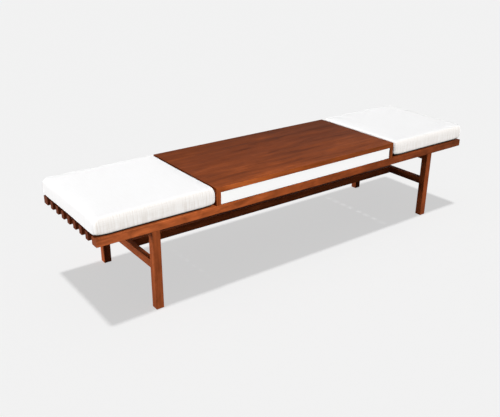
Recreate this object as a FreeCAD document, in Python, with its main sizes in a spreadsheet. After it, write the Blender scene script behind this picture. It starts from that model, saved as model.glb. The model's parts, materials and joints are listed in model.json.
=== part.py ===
import FreeCAD
import Part
import math
import os
import Sketcher
from FreeCAD import Placement, Rotation, Vector

# Slatted platform bench with two loose box cushions and a low table box with one drawer.
# The origin is on the floor under the middle of the bench, +X runs along the bench,
# the drawer faces -Y and +Z is up. All sizes are in millimetres.

DIMENSIONS = {
    # deck of two rails with slats between them
    "bench_length": 2134,
    "bench_depth": 530,
    "deck_height": 386,
    "rail_height": 35,
    "rail_thickness": 40,
    "slat_count": 7,
    "slat_thickness": 25,
    "edge_radius": 2,
    # legs and what joins them
    "leg_span": 1672,
    "leg_size": 35,
    "foot_chamfer": 1.8,
    "top_rail_width": 28,
    "stretcher_width": 25,
    "stretcher_height": 35,
    "stretcher_bottom": 175.5,
    "long_stretcher_width": 40,
    "batten_width": 50,
    "batten_thickness": 12,
    "batten_length": 488,
    "batten_screw_span": 470,
    # tenons and dowels
    "tenon_width": 12,
    "tenon_height": 25,
    "top_tenon_height": 20,
    "tenon_length": 17,
    "long_tenon_width": 20,
    "long_tenon_length": 12,
    "joint_gap": 0.1,
    "dowel_diameter": 10,
    "dowel_length": 40,
    "dowel_offset": 7,
    # screws: the bite is how far one goes into the piece it holds
    "screw_diameter": 4,
    "screw_head": 8,
    "screw_head_height": 2.5,
    "screw_bite": 15,
    "top_rail_recess": 14,
    "batten_recess": 3,
    "small_screw_diameter": 3,
    "small_screw_head": 6,
    "small_screw_head_height": 2,
    "runner_recess": 8,
    # table box
    "table_length": 1058,
    "table_depth": 528,
    "table_shift": -6,
    "table_height": 79,
    "table_board": 22,
    "table_edge_radius": 1.2,
    "back_thickness": 18,
    "back_inset": 3,
    "back_rise": 1,
    "runner_width": 20,
    "runner_height": 10,
    "runner_length": 470,
    "runner_screw_count": 3,
    "runner_screw_pitch": 180,
    "block_length": 60,
    "block_drop": 12,
    "block_side_gap": 0.8,
    "stop_width": 30,
    "stop_height": 25,
    "stop_thickness": 8,
    "stop_rise": 20,
    "stop_spread": 800,
    # drawer
    "drawer_gap": 1.5,
    "drawer_rise": 3,
    "face_recess": 2,
    "laminate_thickness": 1.2,
    "front_thickness": 17,
    "drawer_board": 12,
    "drawer_floor_thickness": 5,
    "drawer_floor_lift": 4,
    "groove_depth": 4,
    "groove_gap": 0.2,
    "finger_batten_length": 300,
    "finger_batten_width": 12,
    "finger_batten_setback": 3,
    "drawer_screw_bite": 18,
    "drawer_screw_count": 3,
    "drawer_screw_pitch": 420,
    # cushions
    "cushion_length": 532,
    "cushion_depth": 524,
    "cushion_thickness": 81,
    "cushion_crown": 5,
    "cushion_crown_reach": 137,
    "cushion_draw": 3,
    "cushion_corner": 24,
    "cushion_foot_inset": 11,
    "cushion_foot_height": 18,
    "cushion_shoulder_inset": 13,
    "cushion_shoulder_height": 20,
    "cushion_lift": 0.5,
    "cushion_reach": 1070,
}

PARTS_FOLDER = "parts"
X_AXIS = Vector(1, 0, 0)
Y_AXIS = Vector(0, 1, 0)
Z_AXIS = Vector(0, 0, 1)
QUARTER_TURN = 90
HALF_TURN = 180
PARALLEL = 0.999
ROUGH_WIDTH = 18
ROUGH_HEIGHT = 12
EDGE_STEPS = 3
CROWN_STEPS = 4

# Where things are, worked out from the sheet's cells
BETWEEN_RAILS = "(Dims.bench_depth - 2 * Dims.rail_thickness)"
SLAT_PITCH = f"({BETWEEN_RAILS} + Dims.slat_thickness) / (Dims.slat_count + 1)"
LEG_X = "(Dims.leg_span - Dims.leg_size) / 2"
LEG_Y = "(Dims.bench_depth - Dims.leg_size) / 2"
LEG_HEIGHT = "(Dims.deck_height - Dims.rail_height)"
RAIL_Y = "(Dims.bench_depth - Dims.rail_thickness) / 2"
DECK_Z = "Dims.deck_height - Dims.rail_height / 2"
TOP_RAIL_Z = "Dims.deck_height - 1.5 * Dims.rail_height"
STRETCHER_Z = "(Dims.stretcher_bottom + Dims.stretcher_height / 2)"
BETWEEN_LEGS = "(Dims.bench_depth - 2 * Dims.leg_size)"
BETWEEN_STRETCHERS = "(Dims.leg_span - Dims.leg_size - Dims.stretcher_width)"
DOWEL_HOLE = "Dims.dowel_diameter + 2 * Dims.joint_gap"
SCREW_HOLE = "Dims.screw_diameter + 2 * Dims.joint_gap"
SCREW_RECESS = "Dims.screw_head + 2 * Dims.joint_gap"
SMALL_HOLE = "Dims.small_screw_diameter + 2 * Dims.joint_gap"
SMALL_RECESS = "Dims.small_screw_head + 2 * Dims.joint_gap"
TABLE_INSIDE = "(Dims.table_length - 2 * Dims.table_board)"
CEILING_Z = "(Dims.deck_height + Dims.table_height - Dims.table_board)"
BACK_FRONT_Y = "(Dims.table_depth / 2 - Dims.back_inset - Dims.back_thickness)"
DRAWER_LENGTH = f"({TABLE_INSIDE} - 2 * Dims.drawer_gap)"
DRAWER_INSIDE = f"({TABLE_INSIDE} - 2 * Dims.drawer_gap - 2 * Dims.drawer_board)"
DRAWER_REAR_Y = f"({BACK_FRONT_Y} - Dims.stop_thickness)"
DRAWER_TOP_Z = f"({CEILING_Z} - Dims.drawer_gap)"
DRAWER_SIDE_Z = "(Dims.deck_height + Dims.runner_height)"
DRAWER_FLOOR_Z = f"({DRAWER_SIDE_Z} + Dims.drawer_floor_lift)"
FACE_Y = "(Dims.face_recess - Dims.table_depth / 2)"
FRONT_Y = f"({FACE_Y} + Dims.laminate_thickness)"
FRONT_REAR_Y = f"({FRONT_Y} + Dims.front_thickness)"
FLOOR_FRONT_Y = f"({FRONT_REAR_Y} - Dims.groove_depth + Dims.groove_gap)"
GROOVE_HEIGHT = "Dims.drawer_floor_thickness + Dims.groove_gap"

doc = FreeCAD.newDocument("PlatformBench")
sheet = doc.addObject("Spreadsheet::Sheet", "Dims")
for row, (alias, number) in enumerate(DIMENSIONS.items(), start=1):
    sheet.set(f"A{row}", alias)
    sheet.set(f"B{row}", str(number))
    sheet.setAlias(f"B{row}", alias)
doc.recompute()

finished = []


def size(alias):
    """The number in the sheet's cell of this alias."""
    return float(getattr(sheet, alias))


def place(thing, x="0", y="0", z="0", turn=0):
    """Turn a piece about its own vertical and bind its place to the sheet."""
    thing.Placement = Placement(Vector(), Rotation(Z_AXIS, turn))
    thing.setExpression("Placement.Base.x", x)
    thing.setExpression("Placement.Base.y", y)
    thing.setExpression("Placement.Base.z", z)


def finish(thing, label):
    """Name a finished piece and list it for the hand-in."""
    thing.Label = label
    finished.append(thing)
    return thing


# Sketches and features

def origin_item(body, role):
    """One of the body's own origin planes or axes."""
    return next(item for item in body.Origin.OriginFeatures if item.Role == role)


def sketch_on(body, role, x="0", y="0", z="0"):
    """A sketch on one of the body's origin planes, shifted in the sketch's own axes."""
    sketch = body.newObject("Sketcher::SketchObject", f"{body.Name}_sketch")
    sketch.AttachmentSupport = [(origin_item(body, role), "")]
    sketch.MapMode = "FlatFace"
    sketch.setExpression("AttachmentOffset.Base.x", x)
    sketch.setExpression("AttachmentOffset.Base.y", y)
    sketch.setExpression("AttachmentOffset.Base.z", z)
    return sketch


def outline(sketch, corners):
    """Join the corners with lines into a closed outline."""
    count = len(corners)
    for index, corner in enumerate(corners):
        sketch.addGeometry(Part.LineSegment(corner, corners[(index + 1) % count]), False)
    for index in range(count):
        sketch.addConstraint(Sketcher.Constraint("Coincident", index, 2, (index + 1) % count, 1))


def bound_size(sketch, constraint, expression):
    """Add a size to the sketch and bind it to the sheet."""
    index = sketch.addConstraint(constraint)
    sketch.setExpression(f"Constraints[{index}]", expression)


def rectangle(sketch, width, height):
    """A rectangle about the sketch's origin, drawn roughly and then bound to the sheet."""
    x = ROUGH_WIDTH / 2
    y = ROUGH_HEIGHT / 2
    outline(sketch, [Vector(-x, -y, 0), Vector(x, -y, 0), Vector(x, y, 0), Vector(-x, y, 0)])
    sketch.addConstraint(Sketcher.Constraint("Horizontal", 0))
    sketch.addConstraint(Sketcher.Constraint("Vertical", 1))
    sketch.addConstraint(Sketcher.Constraint("Horizontal", 2))
    sketch.addConstraint(Sketcher.Constraint("Vertical", 3))
    sketch.addConstraint(Sketcher.Constraint("Symmetric", 0, 1, 2, 1, -1, 1))
    bound_size(sketch, Sketcher.Constraint("DistanceX", 0, 1, 0, 2, ROUGH_WIDTH), width)
    bound_size(sketch, Sketcher.Constraint("DistanceY", 1, 1, 1, 2, ROUGH_HEIGHT), height)


def circle(sketch, diameter):
    """A circle about the sketch's origin, drawn roughly and then bound to the sheet."""
    sketch.addGeometry(Part.Circle(Vector(), Z_AXIS, ROUGH_WIDTH / 2), False)
    sketch.addConstraint(Sketcher.Constraint("Coincident", 0, 3, -1, 1))
    bound_size(sketch, Sketcher.Constraint("Diameter", 0, ROUGH_WIDTH), diameter)


def pad(body, sketch, length, both_ways=True):
    """Pad a sketch to both sides of its plane, or along its normal only."""
    feature = body.newObject("PartDesign::Pad", f"{body.Name}_pad")
    feature.Profile = sketch
    feature.Midplane = both_ways
    feature.setExpression("Length", length)
    doc.recompute()
    return feature


def must_shrink(body, before, name):
    """Stop if a cut has taken nothing away."""
    if body.Shape.Volume >= before - 1:
        raise RuntimeError(f"{name} cuts nothing")


def pocket(body, sketch, depth, along_normal):
    """Cut a sketch to a depth, along its normal or against it."""
    before = body.Shape.Volume
    feature = body.newObject("PartDesign::Pocket", f"{body.Name}_pocket")
    feature.Profile = sketch
    feature.Reversed = along_normal
    feature.setExpression("Length", depth)
    doc.recompute()
    must_shrink(body, before, feature.Name)
    return feature


def repeat(body, features, role, span, count):
    """Repeat cuts evenly over a span along one of the body's axes."""
    before = body.Shape.Volume
    pattern = body.newObject("PartDesign::LinearPattern", f"{body.Name}_pattern")
    pattern.Originals = features
    pattern.Direction = (origin_item(body, role), [""])
    pattern.setExpression("Length", span)
    pattern.setExpression("Occurrences", count)
    body.Tip = pattern
    doc.recompute()
    must_shrink(body, before, pattern.Name)


def runs_along(edge, axis):
    """True where the edge is parallel to the axis."""
    start, end = [vertex.Point for vertex in edge.Vertexes]
    return abs((end - start).normalize().dot(axis)) > PARALLEL


def round_edges(body, feature, radius, chosen):
    """Round the edges of the feature that chosen picks."""
    rounding = body.newObject("PartDesign::Fillet", f"{body.Name}_rounding")
    numbered = enumerate(feature.Shape.Edges, start=1)
    rounding.Base = (feature, [f"Edge{number}" for number, edge in numbered if chosen(edge)])
    rounding.setExpression("Radius", radius)
    doc.recompute()
    return rounding


def plain_board(label, length, width, height):
    """A square-edged board about its own centre, with its length along X."""
    body = doc.addObject("PartDesign::Body", label)
    section = sketch_on(body, "YZ_Plane")
    rectangle(section, width, height)
    pad(body, section, length)
    return body


def board(label, length, width, height):
    """A board whose long edges are eased."""
    body = plain_board(label, length, width, height)
    round_edges(body, body.Tip, "Dims.edge_radius", lambda edge: runs_along(edge, X_AXIS))
    return body


def end_tenons(body, length, width, height):
    """A tenon out of each end of a board, made as one core right through it."""
    core = sketch_on(body, "YZ_Plane")
    rectangle(core, width, height)
    pad(body, core, length)


def hole_up(body, diameter, x, y, bottom, depth):
    """A round hole upwards from a level of the body."""
    ring = sketch_on(body, "XY_Plane", x, y, bottom)
    circle(ring, diameter)
    return pocket(body, ring, depth, along_normal=True)


# Deck

def deck_rail(label, side, turn):
    """A long rail, with blind holes for the leg dowels and for the batten's screw."""
    rail = board(label, "Dims.bench_length", "Dims.rail_thickness", "Dims.rail_height")
    underside = "-Dims.rail_height / 2"
    dowel_y = "Dims.leg_size / 2 - Dims.rail_thickness / 2 - Dims.dowel_offset"
    for end in (-1, 1):
        hole_up(rail, DOWEL_HOLE, f"{end} * {LEG_X}", dowel_y, underside,
                "Dims.dowel_length / 2 + Dims.joint_gap")
    hole_up(rail, SCREW_HOLE, "0", f"{RAIL_Y} - Dims.batten_screw_span / 2", underside,
            "Dims.screw_bite + Dims.joint_gap")
    place(rail, y=f"{side} * {RAIL_Y}", z=DECK_Z, turn=turn)
    finish(rail, label)


def slat(number):
    """A slat, with a blind screw hole over each leg frame and over the batten."""
    label = f"slat_{number}"
    piece = board(label, "Dims.bench_length", "Dims.slat_thickness", "Dims.rail_height")
    for end in (-1, 0, 1):
        hole_up(piece, SCREW_HOLE, f"{end} * {LEG_X}", "0", "-Dims.rail_height / 2",
                "Dims.screw_bite + Dims.joint_gap")
    place(piece, y=f"({number} - (Dims.slat_count + 1) / 2) * {SLAT_PITCH}", z=DECK_Z)
    finish(piece, label)


def screw_holes_for_slats(body, thickness, recess):
    """A row of screw holes with recessed heads, one under each slat."""
    first_x = f"-(Dims.slat_count - 1) / 2 * {SLAT_PITCH}"
    underside = f"-{thickness} / 2"
    through = hole_up(body, SCREW_HOLE, first_x, "0", underside, thickness)
    head = hole_up(body, SCREW_RECESS, first_x, "0", underside, recess)
    repeat(body, [through, head], "X_Axis", f"(Dims.slat_count - 1) * {SLAT_PITCH}", "Dims.slat_count")


def centre_batten():
    """The flat batten across the middle, whose undercut ends hide behind the rails."""
    batten = plain_board("centre_batten", "Dims.batten_length", "Dims.batten_width",
                         "Dims.batten_thickness")
    blank = batten.Tip
    lowest = [f"Edge{number}" for number, edge in enumerate(blank.Shape.Edges, start=1)
              if runs_along(edge, Y_AXIS) and edge.CenterOfMass.z < 0]
    undercut = batten.newObject("PartDesign::Chamfer", "centre_batten_undercut")
    undercut.Base = (blank, lowest)
    undercut.setExpression("Size", "Dims.batten_thickness / 2")
    doc.recompute()
    screw_holes_for_slats(batten, "Dims.batten_thickness", "Dims.batten_recess")
    for end in (-1, 1):
        spot = f"{end} * Dims.batten_screw_span / 2"
        hole_up(batten, SCREW_HOLE, spot, "0", "-Dims.batten_thickness / 2", "Dims.batten_thickness")
        hole_up(batten, SCREW_RECESS, spot, "0", "-Dims.batten_thickness / 2", "Dims.batten_recess")
    place(batten, z=f"{LEG_HEIGHT} - Dims.batten_thickness / 2", turn=QUARTER_TURN)
    finish(batten, "centre_batten")


# Legs and stretchers

def leg(label, end, side, turn):
    """A square leg with two mortises in its inner face and a dowel hole in its top."""
    post = doc.addObject("PartDesign::Body", label)
    section = sketch_on(post, "XY_Plane")
    rectangle(section, "Dims.leg_size", "Dims.leg_size")
    blank = pad(post, section, LEG_HEIGHT, both_ways=False)
    eased = round_edges(post, blank, "Dims.edge_radius", lambda edge: runs_along(edge, Z_AXIS))
    foot = post.newObject("PartDesign::Chamfer", f"{label}_foot")
    foot_face = min(range(len(eased.Shape.Faces)), key=lambda n: eased.Shape.Faces[n].CenterOfMass.z)
    foot.Base = (eased, [f"Face{foot_face + 1}"])
    foot.setExpression("Size", "Dims.foot_chamfer")
    doc.recompute()
    mortises = ((STRETCHER_Z, "Dims.tenon_height"), (TOP_RAIL_Z, "Dims.top_tenon_height"))
    for level, height in mortises:
        mouth = sketch_on(post, "XZ_Plane", y=level)
        rectangle(mouth, "Dims.tenon_width + 2 * Dims.joint_gap", f"{height} + 2 * Dims.joint_gap")
        pocket(post, mouth, "Dims.leg_size / 2", along_normal=False)
    hole_up(post, DOWEL_HOLE, "0", "-Dims.dowel_offset",
            f"{LEG_HEIGHT} - Dims.dowel_length / 2 - Dims.joint_gap",
            "Dims.dowel_length / 2 + Dims.joint_gap")
    place(post, x=f"{end} * {LEG_X}", y=f"{side} * {LEG_Y}", turn=turn)
    finish(post, label)


def top_rail(label, end):
    """The rail across the top of a leg frame, which carries the slats."""
    rail = board(label, BETWEEN_LEGS, "Dims.top_rail_width", "Dims.rail_height")
    end_tenons(rail, f"{BETWEEN_LEGS} + 2 * Dims.tenon_length", "Dims.tenon_width",
               "Dims.top_tenon_height")
    screw_holes_for_slats(rail, "Dims.rail_height", "Dims.top_rail_recess")
    place(rail, x=f"{end} * {LEG_X}", z=TOP_RAIL_Z, turn=QUARTER_TURN)
    finish(rail, label)


def cross_stretcher(label, end, turn):
    """The low rail across a leg frame, mortised for the long stretcher."""
    rail = board(label, BETWEEN_LEGS, "Dims.stretcher_width", "Dims.stretcher_height")
    end_tenons(rail, f"{BETWEEN_LEGS} + 2 * Dims.tenon_length", "Dims.tenon_width",
               "Dims.tenon_height")
    mouth = sketch_on(rail, "XZ_Plane")
    rectangle(mouth, "Dims.long_tenon_width + 2 * Dims.joint_gap",
              "Dims.tenon_height + 2 * Dims.joint_gap")
    pocket(rail, mouth, "Dims.stretcher_width / 2", along_normal=True)
    place(rail, x=f"{end} * {LEG_X}", z=STRETCHER_Z, turn=turn)
    finish(rail, label)


def long_stretcher():
    """The stretcher that ties the two leg frames together along the middle."""
    rail = board("long_stretcher", BETWEEN_STRETCHERS, "Dims.long_stretcher_width",
                 "Dims.stretcher_height")
    end_tenons(rail, f"{BETWEEN_STRETCHERS} + 2 * Dims.long_tenon_length",
               "Dims.long_tenon_width", "Dims.tenon_height")
    place(rail, z=STRETCHER_Z)
    finish(rail, "long_stretcher")


# Fasteners

def cylinder(name, diameter, length, x="0", y="0", z="0"):
    """An upright cylinder, bound to the sheet."""
    rod = doc.addObject("Part::Cylinder", name)
    rod.setExpression("Radius", f"({diameter}) / 2")
    rod.setExpression("Height", length)
    place(rod, x, y, z)
    return rod


def screw(name, kind, length):
    """A screw that points up, with the underside of its head on its own origin."""
    prefix = "Dims.small_screw" if kind == "small" else "Dims.screw"
    shank = cylinder(f"{name}_shank", f"{prefix}_diameter", length)
    head = cylinder(f"{name}_head", f"{prefix}_head", f"{prefix}_head_height",
                    z=f"-{prefix}_head_height")
    whole = doc.addObject("Part::Fuse", name)
    whole.Base = shank
    whole.Tool = head
    return whole


def group(label, members):
    """Like fasteners as one node of separate solids."""
    compound = doc.addObject("Part::Compound", label)
    compound.Links = members
    finish(compound, label)


def leg_dowels():
    """The dowel between each leg and the rail on top of it."""
    dowels = []
    for end in (-1, 1):
        for side in (-1, 1):
            name = f"leg_dowel_{len(dowels) + 1}"
            dowels.append(cylinder(name, "Dims.dowel_diameter", "Dims.dowel_length",
                                   f"{end} * {LEG_X}", f"{side} * ({LEG_Y} + Dims.dowel_offset)",
                                   f"{LEG_HEIGHT} - Dims.dowel_length / 2"))
    group("leg_dowels", dowels)


def slat_screws(label, end, thickness, recess, rail_screws):
    """The screws through one cross piece into the slats, and into the rails where they go there."""
    spots = [f"({number} - (Dims.slat_count + 1) / 2) * {SLAT_PITCH}"
             for number in range(1, int(size("slat_count")) + 1)]
    if rail_screws:
        spots += ["-Dims.batten_screw_span / 2", "Dims.batten_screw_span / 2"]
    screws = []
    for number, spot in enumerate(spots, start=1):
        piece = screw(f"{label}_{number}", "large", f"{thickness} - {recess} + Dims.screw_bite")
        place(piece, f"{end} * {LEG_X}", spot, f"{LEG_HEIGHT} - {thickness} + {recess}")
        screws.append(piece)
    group(label, screws)


# Table box

def mitred_board(label, corners, sizes, depth, softened):
    """A board of the table box: its outline seen from the front, padded front to back."""
    panel = doc.addObject("PartDesign::Body", label)
    section = sketch_on(panel, "XZ_Plane")
    outline(section, corners)
    sizes(section)
    blank = pad(panel, section, depth)
    round_edges(panel, blank, "Dims.table_edge_radius", softened)
    return panel


def table_top():
    """The top, mitred down to the sides at both ends."""
    outer = size("table_length") / 2
    down = size("table_board")
    inner = outer - down

    def sizes(section):
        section.addConstraint(Sketcher.Constraint("Horizontal", 0))
        section.addConstraint(Sketcher.Constraint("Symmetric", 0, 1, 0, 2, -1, 1))
        section.addConstraint(Sketcher.Constraint("Symmetric", 2, 1, 2, 2, -2))
        bound_size(section, Sketcher.Constraint("DistanceX", 0, 1, 0, 2, 2 * outer), "Dims.table_length")
        bound_size(section, Sketcher.Constraint("DistanceX", 2, 2, 2, 1, 2 * inner), TABLE_INSIDE)
        bound_size(section, Sketcher.Constraint("DistanceY", 1, 2, 1, 1, down), "Dims.table_board")

    corners = [Vector(-outer, 0, 0), Vector(outer, 0, 0), Vector(inner, -down, 0), Vector(-inner, -down, 0)]
    panel = mitred_board("table_top", corners, sizes, "Dims.table_depth",
                         lambda edge: runs_along(edge, X_AXIS))
    place(panel, x="Dims.table_shift", z="Dims.deck_height + Dims.table_height")
    finish(panel, "table_top")


def table_side(label, end, turn):
    """A side, mitred up to the top, with screw holes for its runner."""
    thick = size("table_board")
    tall = size("table_height")
    short = tall - thick

    def sizes(section):
        section.addConstraint(Sketcher.Constraint("Horizontal", 0))
        section.addConstraint(Sketcher.Constraint("Vertical", 1))
        section.addConstraint(Sketcher.Constraint("Vertical", 3))
        section.addConstraint(Sketcher.Constraint("Coincident", 0, 1, -1, 1))
        bound_size(section, Sketcher.Constraint("DistanceX", 0, 1, 0, 2, thick), "Dims.table_board")
        bound_size(section, Sketcher.Constraint("DistanceY", 1, 1, 1, 2, short),
                   "Dims.table_height - Dims.table_board")
        bound_size(section, Sketcher.Constraint("DistanceY", 3, 2, 3, 1, tall), "Dims.table_height")

    corners = [Vector(0, 0, 0), Vector(thick, 0, 0), Vector(thick, short, 0), Vector(0, tall, 0)]
    panel = mitred_board(label, corners, sizes, "Dims.table_depth",
                         lambda edge: runs_along(edge, Z_AXIS))
    spot = sketch_on(panel, "YZ_Plane", x="-Dims.runner_screw_pitch", y="Dims.runner_height / 2",
                     z="Dims.table_board")
    circle(spot, SMALL_HOLE)
    hole = pocket(panel, spot, "Dims.screw_bite + Dims.joint_gap", along_normal=False)
    repeat(panel, [hole], "Y_Axis", "(Dims.runner_screw_count - 1) * Dims.runner_screw_pitch",
           "Dims.runner_screw_count")
    place(panel, x=f"Dims.table_shift + {end} * Dims.table_length / 2", z="Dims.deck_height", turn=turn)
    finish(panel, label)


def table_back():
    """The back board between the sides, just clear of the deck."""
    height = f"{CEILING_Z} - Dims.deck_height - Dims.back_rise"
    panel = plain_board("table_back", TABLE_INSIDE, "Dims.back_thickness", height)
    place(panel, x="Dims.table_shift", y=f"{BACK_FRONT_Y} + Dims.back_thickness / 2",
          z=f"{CEILING_Z} - ({height}) / 2")
    finish(panel, "table_back")


def runner(label, end, turn):
    """The strip inside a side that the drawer slides on, with recessed screw holes."""
    strip = plain_board(label, "Dims.runner_length", "Dims.runner_width", "Dims.runner_height")
    face = "Dims.runner_width / 2"
    holes = []
    for diameter, depth in ((SMALL_HOLE, "Dims.runner_width"), (SMALL_RECESS, "Dims.runner_recess")):
        spot = sketch_on(strip, "XZ_Plane", x="-Dims.runner_screw_pitch", z=face)
        circle(spot, diameter)
        holes.append(pocket(strip, spot, depth, along_normal=False))
    repeat(strip, holes, "X_Axis", "(Dims.runner_screw_count - 1) * Dims.runner_screw_pitch",
           "Dims.runner_screw_count")
    place(strip, x=f"Dims.table_shift + {end} * ({TABLE_INSIDE} - Dims.runner_width) / 2",
          z="Dims.deck_height + Dims.runner_height / 2", turn=turn)
    finish(strip, label)


def runner_screws():
    """The screws through both runners into the sides."""
    screws = []
    for end in (-1, 1):
        for step in (-1, 0, 1):
            name = f"runner_screw_{len(screws) + 1}"
            piece = screw(name, "small", "Dims.runner_width - Dims.runner_recess + Dims.screw_bite")
            place(piece, f"Dims.table_shift + {end} * ({TABLE_INSIDE} / 2 - Dims.runner_width"
                  " + Dims.runner_recess)",
                  f"{step} * Dims.runner_screw_pitch", "Dims.deck_height + Dims.runner_height / 2")
            piece.Placement.Rotation = Rotation(Y_AXIS, end * QUARTER_TURN)
            screws.append(piece)
    group("runner_screws", screws)


def locating_block(label, end):
    """The block under a runner that drops between two slats and keeps the table from sliding off."""
    width = f"{SLAT_PITCH} - Dims.slat_thickness - 2 * Dims.block_side_gap"
    block = plain_board(label, "Dims.block_length", width, "Dims.block_drop")
    inner_edge = f"{TABLE_INSIDE} / 2 - Dims.block_length / 2"
    place(block, x=f"Dims.table_shift + {end} * ({inner_edge})", y=f"{SLAT_PITCH} / 2",
          z="Dims.deck_height - Dims.block_drop / 2")
    finish(block, label)


def drawer_stop(label, end):
    """A stop on the back board that the closed drawer rests against."""
    stop = plain_board(label, "Dims.stop_width", "Dims.stop_thickness", "Dims.stop_height")
    place(stop, x=f"Dims.table_shift + {end} * Dims.stop_spread / 2",
          y=f"{BACK_FRONT_Y} - Dims.stop_thickness / 2",
          z="Dims.deck_height + Dims.stop_rise + Dims.stop_height / 2")
    finish(stop, label)


# Drawer

def drawer_front():
    """The front board, grooved behind for the floor, and the white laminate on its face."""
    height = f"({DRAWER_TOP_Z} - Dims.deck_height - Dims.drawer_rise)"
    middle_z = f"Dims.deck_height + Dims.drawer_rise + {height} / 2"
    front = plain_board("drawer_front", DRAWER_LENGTH, "Dims.front_thickness", height)
    groove_z = f"{DRAWER_FLOOR_Z} + ({GROOVE_HEIGHT}) / 2 - ({middle_z})"
    groove = sketch_on(front, "YZ_Plane", x="(Dims.front_thickness - Dims.groove_depth) / 2", y=groove_z)
    rectangle(groove, "Dims.groove_depth", GROOVE_HEIGHT)
    cut = pocket(front, groove, DRAWER_LENGTH, along_normal=True)
    cut.Midplane = True
    place(front, x="Dims.table_shift", y=f"{FRONT_Y} + Dims.front_thickness / 2", z=middle_z)
    finish(front, "drawer_front")
    face = plain_board("drawer_front_laminate", DRAWER_LENGTH, "Dims.laminate_thickness", height)
    place(face, x="Dims.table_shift", y=f"{FACE_Y} + Dims.laminate_thickness / 2", z=middle_z)
    finish(face, "drawer_front_laminate")


def drawer_side(label, end, turn):
    """A side that slides on its runner, grooved on the inside for the floor."""
    length = f"({DRAWER_REAR_Y} - {FRONT_REAR_Y})"
    height = f"({DRAWER_TOP_Z} - {DRAWER_SIDE_Z})"
    side = plain_board(label, length, "Dims.drawer_board", height)
    groove = sketch_on(side, "YZ_Plane", x="(Dims.drawer_board - Dims.groove_depth) / 2",
                       y=f"Dims.drawer_floor_lift + ({GROOVE_HEIGHT}) / 2 - {height} / 2")
    rectangle(groove, "Dims.groove_depth", GROOVE_HEIGHT)
    cut = pocket(side, groove, length, along_normal=True)
    cut.Midplane = True
    place(side, x=f"Dims.table_shift + {end} * ({DRAWER_LENGTH} - Dims.drawer_board) / 2",
          y=f"({DRAWER_REAR_Y} + {FRONT_REAR_Y}) / 2", z=f"{DRAWER_SIDE_Z} + {height} / 2", turn=turn)
    finish(side, label)


def drawer_back():
    """The back between the sides, standing on the floor board, with holes for its screws."""
    top_of_floor = f"{DRAWER_FLOOR_Z} + Dims.drawer_floor_thickness + Dims.groove_gap"
    height = f"({DRAWER_TOP_Z} - ({top_of_floor}))"
    back = plain_board("drawer_back", DRAWER_INSIDE, "Dims.drawer_board", height)
    hole = hole_up(back, SMALL_HOLE, "-Dims.drawer_screw_pitch", "0", f"-{height} / 2",
                   "Dims.drawer_screw_bite + Dims.joint_gap")
    repeat(back, [hole], "X_Axis", "(Dims.drawer_screw_count - 1) * Dims.drawer_screw_pitch",
           "Dims.drawer_screw_count")
    place(back, x="Dims.table_shift", y=f"{DRAWER_REAR_Y} - Dims.drawer_board / 2",
          z=f"{top_of_floor} + {height} / 2")
    finish(back, "drawer_back")


def drawer_floor():
    """The floor board, held in the grooves and screwed up into the back."""
    length = f"{DRAWER_INSIDE} + 2 * (Dims.groove_depth - Dims.groove_gap)"
    depth = f"({DRAWER_REAR_Y} - {FLOOR_FRONT_Y})"
    floor = plain_board("drawer_floor", length, depth, "Dims.drawer_floor_thickness")
    hole = hole_up(floor, SMALL_HOLE, "-Dims.drawer_screw_pitch",
                   f"{depth} / 2 - Dims.drawer_board / 2", "-Dims.drawer_floor_thickness / 2",
                   "Dims.drawer_floor_thickness")
    repeat(floor, [hole], "X_Axis", "(Dims.drawer_screw_count - 1) * Dims.drawer_screw_pitch",
           "Dims.drawer_screw_count")
    place(floor, x="Dims.table_shift", y=f"({DRAWER_REAR_Y} + {FLOOR_FRONT_Y}) / 2",
          z=f"{DRAWER_FLOOR_Z} + Dims.drawer_floor_thickness / 2")
    finish(floor, "drawer_floor")


def drawer_screws():
    """The screws through the floor into the back."""
    screws = []
    for step in (-1, 0, 1):
        name = f"drawer_screw_{len(screws) + 1}"
        piece = screw(name, "small", "Dims.drawer_floor_thickness + Dims.drawer_screw_bite")
        place(piece, f"Dims.table_shift + {step} * Dims.drawer_screw_pitch",
              f"{DRAWER_REAR_Y} - Dims.drawer_board / 2", DRAWER_FLOOR_Z)
        screws.append(piece)
    group("drawer_screws", screws)


def finger_batten():
    """The batten under the drawer floor that fingers push from the gap behind the front rail."""
    height = f"({DRAWER_FLOOR_Z} - Dims.deck_height - Dims.drawer_rise)"
    batten = plain_board("drawer_finger_batten", "Dims.finger_batten_length",
                         "Dims.finger_batten_width", height)
    inner_face = "Dims.rail_thickness - Dims.bench_depth / 2"
    place(batten, x="Dims.table_shift",
          y=f"{inner_face} + Dims.finger_batten_setback + Dims.finger_batten_width / 2",
          z=f"{DRAWER_FLOOR_Z} - {height} / 2")
    finish(batten, "drawer_finger_batten")


# Cushions

def cushion_outline(inset, level):
    """One level of a cushion: four round corners, and sides that draw in between them."""
    half_x = size("cushion_length") / 2 - inset
    half_y = size("cushion_depth") / 2 - inset
    corner = size("cushion_corner") + inset / 2
    draw = size("cushion_draw")
    bulge = corner * (1 - math.cos(math.pi / 4))
    quarter = [(half_x - corner, -half_y), (half_x - bulge, bulge - half_y), (half_x, corner - half_y)]
    middles = [(0, draw - half_y), (half_x - draw, 0), (0, half_y - draw), (draw - half_x, 0)]
    mirrors = [(1, 1), (1, -1), (-1, -1), (-1, 1)]
    corners = []
    for number, (mirror_x, mirror_y) in enumerate(mirrors):
        points = [Vector(mirror_x * x, mirror_y * y, level) for x, y in quarter]
        corners.append(points if number % 2 == 0 else points[::-1])
    edges = []
    for number, points in enumerate(corners):
        side_middle = Vector(*middles[number], level)
        edges.append(Part.Arc(corners[number - 1][2], side_middle, points[0]).toShape())
        edges.append(Part.Arc(*points).toShape())
    return Part.Wire(edges)


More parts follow.
